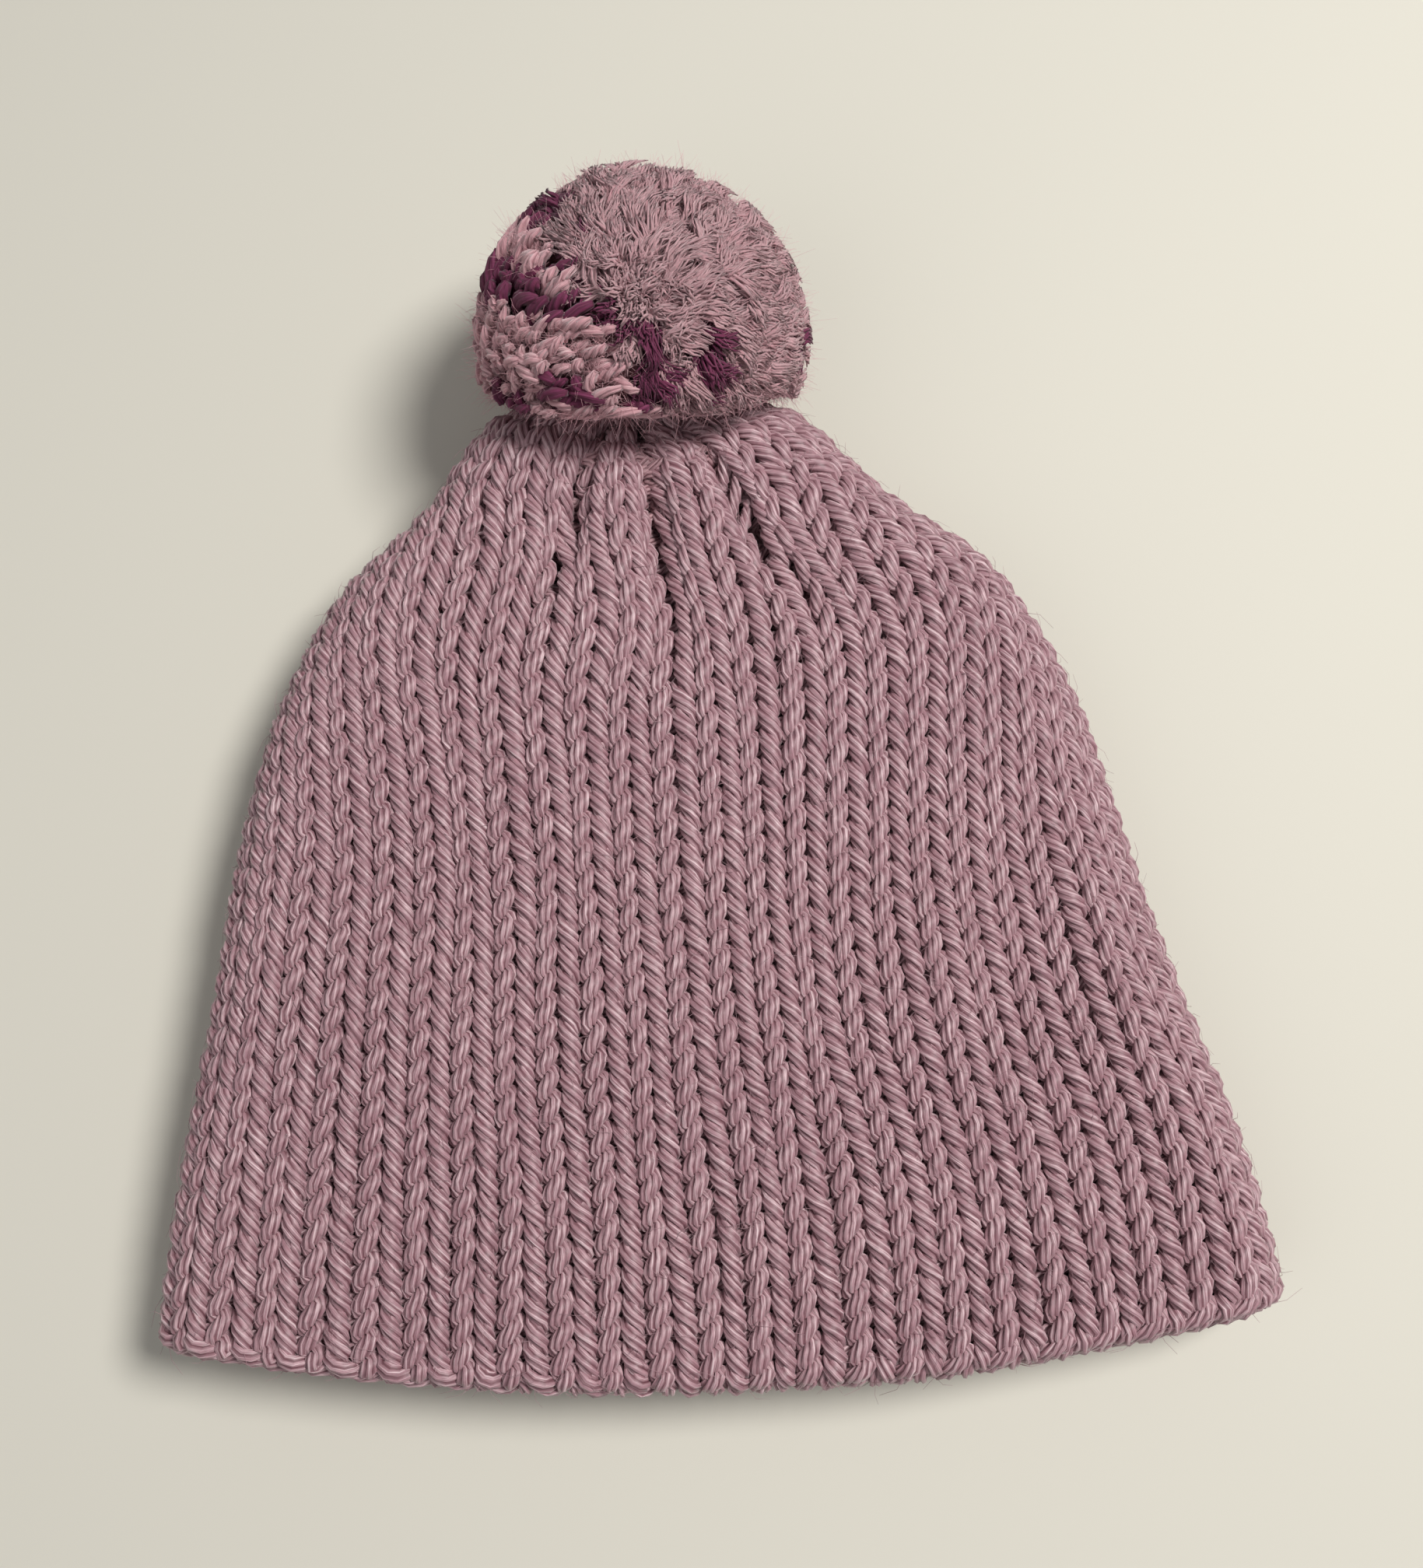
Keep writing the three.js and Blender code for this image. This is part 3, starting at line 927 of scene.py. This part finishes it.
line, out = straight_line((CROWN_X, 63.6, EYE_HEIGHT), (CROWN_X, 73.4, EYE_HEIGHT), 16)
yarn_piece("inner_tether_yarn", line, out, DRAWN_YARN, "hat", "inner_tether", MAUVE)
t = np.arange(48)[:, None] / 48 * TAU
knot = np.array([CROWN_X, 60.4, EYE_HEIGHT]) + 0.6 * np.concatenate(
    [np.sin(t) + 2 * np.sin(2 * t), -np.sin(3 * t), np.cos(t) - 2 * np.cos(2 * t)], 1
)
yarn_piece(
    "inner_knot_yarn", knot, knot - knot.mean(0), KNOT_YARN, "hat", "inner_knot",
    MAUVE, closed=True,
)
line, out = straight_line(PIVOT - TETHER * 1.5, PIVOT + TETHER * 1.5, 9)
yarn_piece(
    "tether_root_yarn", line, out, DRAWN_YARN, "tether_root", "tether_root", MAUVE
)
line, out = straight_line(PIVOT + TETHER * 1.9, PIVOT + TETHER * 9.5, 14)
yarn_piece(
    "tether_shank_yarn", line, out, DRAWN_YARN, "tether_shank", "tether_shank", MAUVE
)
across = unit(np.cross(TETHER, UP))
line, out = ring_line(BALL, TETHER, across, TIE_RING, 36)
yarn_piece(
    "waist_tie_yarn", line, out, DRAWN_YARN, "pompom", "pompom_waist_tie", LINING,
    closed=True,
)


# ---- Stray fibres ----
def hairs(name, roots, ways, bends, lengths, radius, material, seed):
    rng = np.random.default_rng(seed)
    rings = 3
    s = np.linspace(0, 1, rings)[None, :, None]
    line = roots[:, None] + (ways[:, None] * s + bends[:, None] * s**2) * lengths[:, None, None]
    line = line + rng.normal(0, 0.12, line.shape) * s
    line[..., 2] = np.maximum(line[..., 2], 0.1)
    thin = radius * np.linspace(1, 0.5, rings)[None] * rng.uniform(0.8, 1.3, (len(roots), 1))
    up = np.broadcast_to(unit(np.cross(ways, bends) + 1e-3)[:, None], line.shape)
    points = sweep(line, up, thin, thin, np.zeros(line.shape[:2]), THREE_SIDED)
    count = points.shape[0] * rings * 3
    return add_mesh(
        name,
        points.reshape(-1, 3),
        tube_quads(len(roots), rings, 3, False),
        tube_caps(len(roots), rings, 3),
        np.concatenate(
            [
                tube_uvs(len(roots), rings, 3, False, rings - 1),
                np.full((len(roots) * 6, 2), 0.001),
            ]
        ),
        {"fibre": np.zeros((count, 3)), "ply": np.ones(count), "tone": np.full(count, 0.5)},
        material,
    )


rng = np.random.default_rng(21)
count = HAT_FIBRES
u, v = rng.uniform(0, WALES, count), rng.uniform(-FOLD_ROWS, OUTER_ROWS - 1, count)
du, dv = cloth.slopes(u, v)
normal = unit(np.cross(du, dv))
turn = rng.uniform(0, TAU, (count, 1))
flat = np.cos(turn) * unit(du) + np.sin(turn) * unit(dv)
fuzz = hairs(
    "hat_stray_fibres",
    cloth.at(u, v) - normal * 0.8,
    unit(flat + normal * rng.uniform(0.2, 0.75, (count, 1))),
    unit(np.cross(normal, flat)) * rng.uniform(-0.6, 0.6, (count, 1)) - normal * 0.35,
    rng.uniform(2.5, 7.5, count),
    0.05,
    MAUVE,
    22,
)
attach(fuzz, "hat")

tips = ball_directions(BALL_FIBRES, rng)
tips = tips[((BALL + tips * 33)[:, 2] > 4) & (purple_bundle(tips, rng) == 0)]
bend = rng.normal(0, 0.6, tips.shape)
fuzz = hairs(
    "pompom_stray_fibres",
    keep_clear(BALL + tips * np.minimum(32.5, free_reach(tips) - 1.5)[:, None], 0.3),
    unit(tips + rng.normal(0, 0.8, tips.shape)),
    bend,
    rng.uniform(1.4, 3.4, len(tips)),
    0.042,
    POM,
    23,
)
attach(fuzz, "pompom")


# ---- Stage: pale floor, soft light, camera ----
def plain_floor():
    mesh = bpy.data.meshes.new("floor")
    mesh.from_pydata([(-9, -9, 0), (9, -9, 0), (9, 9, 0), (-9, 9, 0)], [], [(0, 1, 2, 3)])
    floor = bpy.data.objects.new("floor", mesh)
    bpy.context.scene.collection.objects.link(floor)
    m = bpy.data.materials.new("floor")
    m.use_nodes = True
    shader = m.node_tree.nodes["Principled BSDF"]
    shader.inputs["Base Color"].default_value = (*linear(208, 205, 194), 1)
    shader.inputs["Roughness"].default_value = 0.9
    mesh.materials.append(m)


def area_light(name, place, target, size, power, colour):
    light = bpy.data.lights.new(name, "AREA")
    light.shape, light.size, light.energy, light.color = "DISK", size, power, colour
    lamp = bpy.data.objects.new(name, light)
    bpy.context.scene.collection.objects.link(lamp)
    away = unit(np.array(place) - np.array(target))
    side = unit(np.cross([0, 1, 0.01], away))
    lamp.matrix_world = Matrix(
        [[*row, p] for row, p in zip(np.stack([side, np.cross(away, side), away], 1), place)]
        + [[0, 0, 0, 1]]
    )


def camera():
    """Above the hat and a little in front of it, looking down."""
    data = bpy.data.cameras.new("camera")
    data.lens, data.sensor_width, data.sensor_fit = 35.71, 36, "AUTO"
    data.clip_start, data.clip_end = 0.01, 20
    made = bpy.data.objects.new("camera", data)
    bpy.context.scene.collection.objects.link(made)
    ahead = unit(np.array([0.0090, 0.2289, -0.9734]))
    right = unit(np.array([0.9992, -0.0393, 0.0]))
    up = np.cross(right, ahead)
    place = (-0.0008, -0.0782, 0.3300)
    made.matrix_world = Matrix(
        [[*row, p] for row, p in zip(np.stack([right, up, -ahead], 1), place)] + [[0, 0, 0, 1]]
    )
    bpy.context.scene.camera = made


plain_floor()
area_light("key", (0.55, 0.14, 1.0), (0, 0, 0), 0.4, 13.5, (1, 0.98, 0.95))
area_light("fill", (-0.7, -0.5, 0.9), (0, 0, 0), 1.2, 3, (1, 0.98, 0.96))
camera()
world = bpy.data.worlds.new("world")
world.use_nodes = True
world.node_tree.nodes["Background"].inputs["Color"].default_value = (0.9, 0.92, 0.95, 1)
world.node_tree.nodes["Background"].inputs["Strength"].default_value = 0.2
bpy.context.scene.world = world
bpy.context.scene.view_settings.view_transform = "Standard"
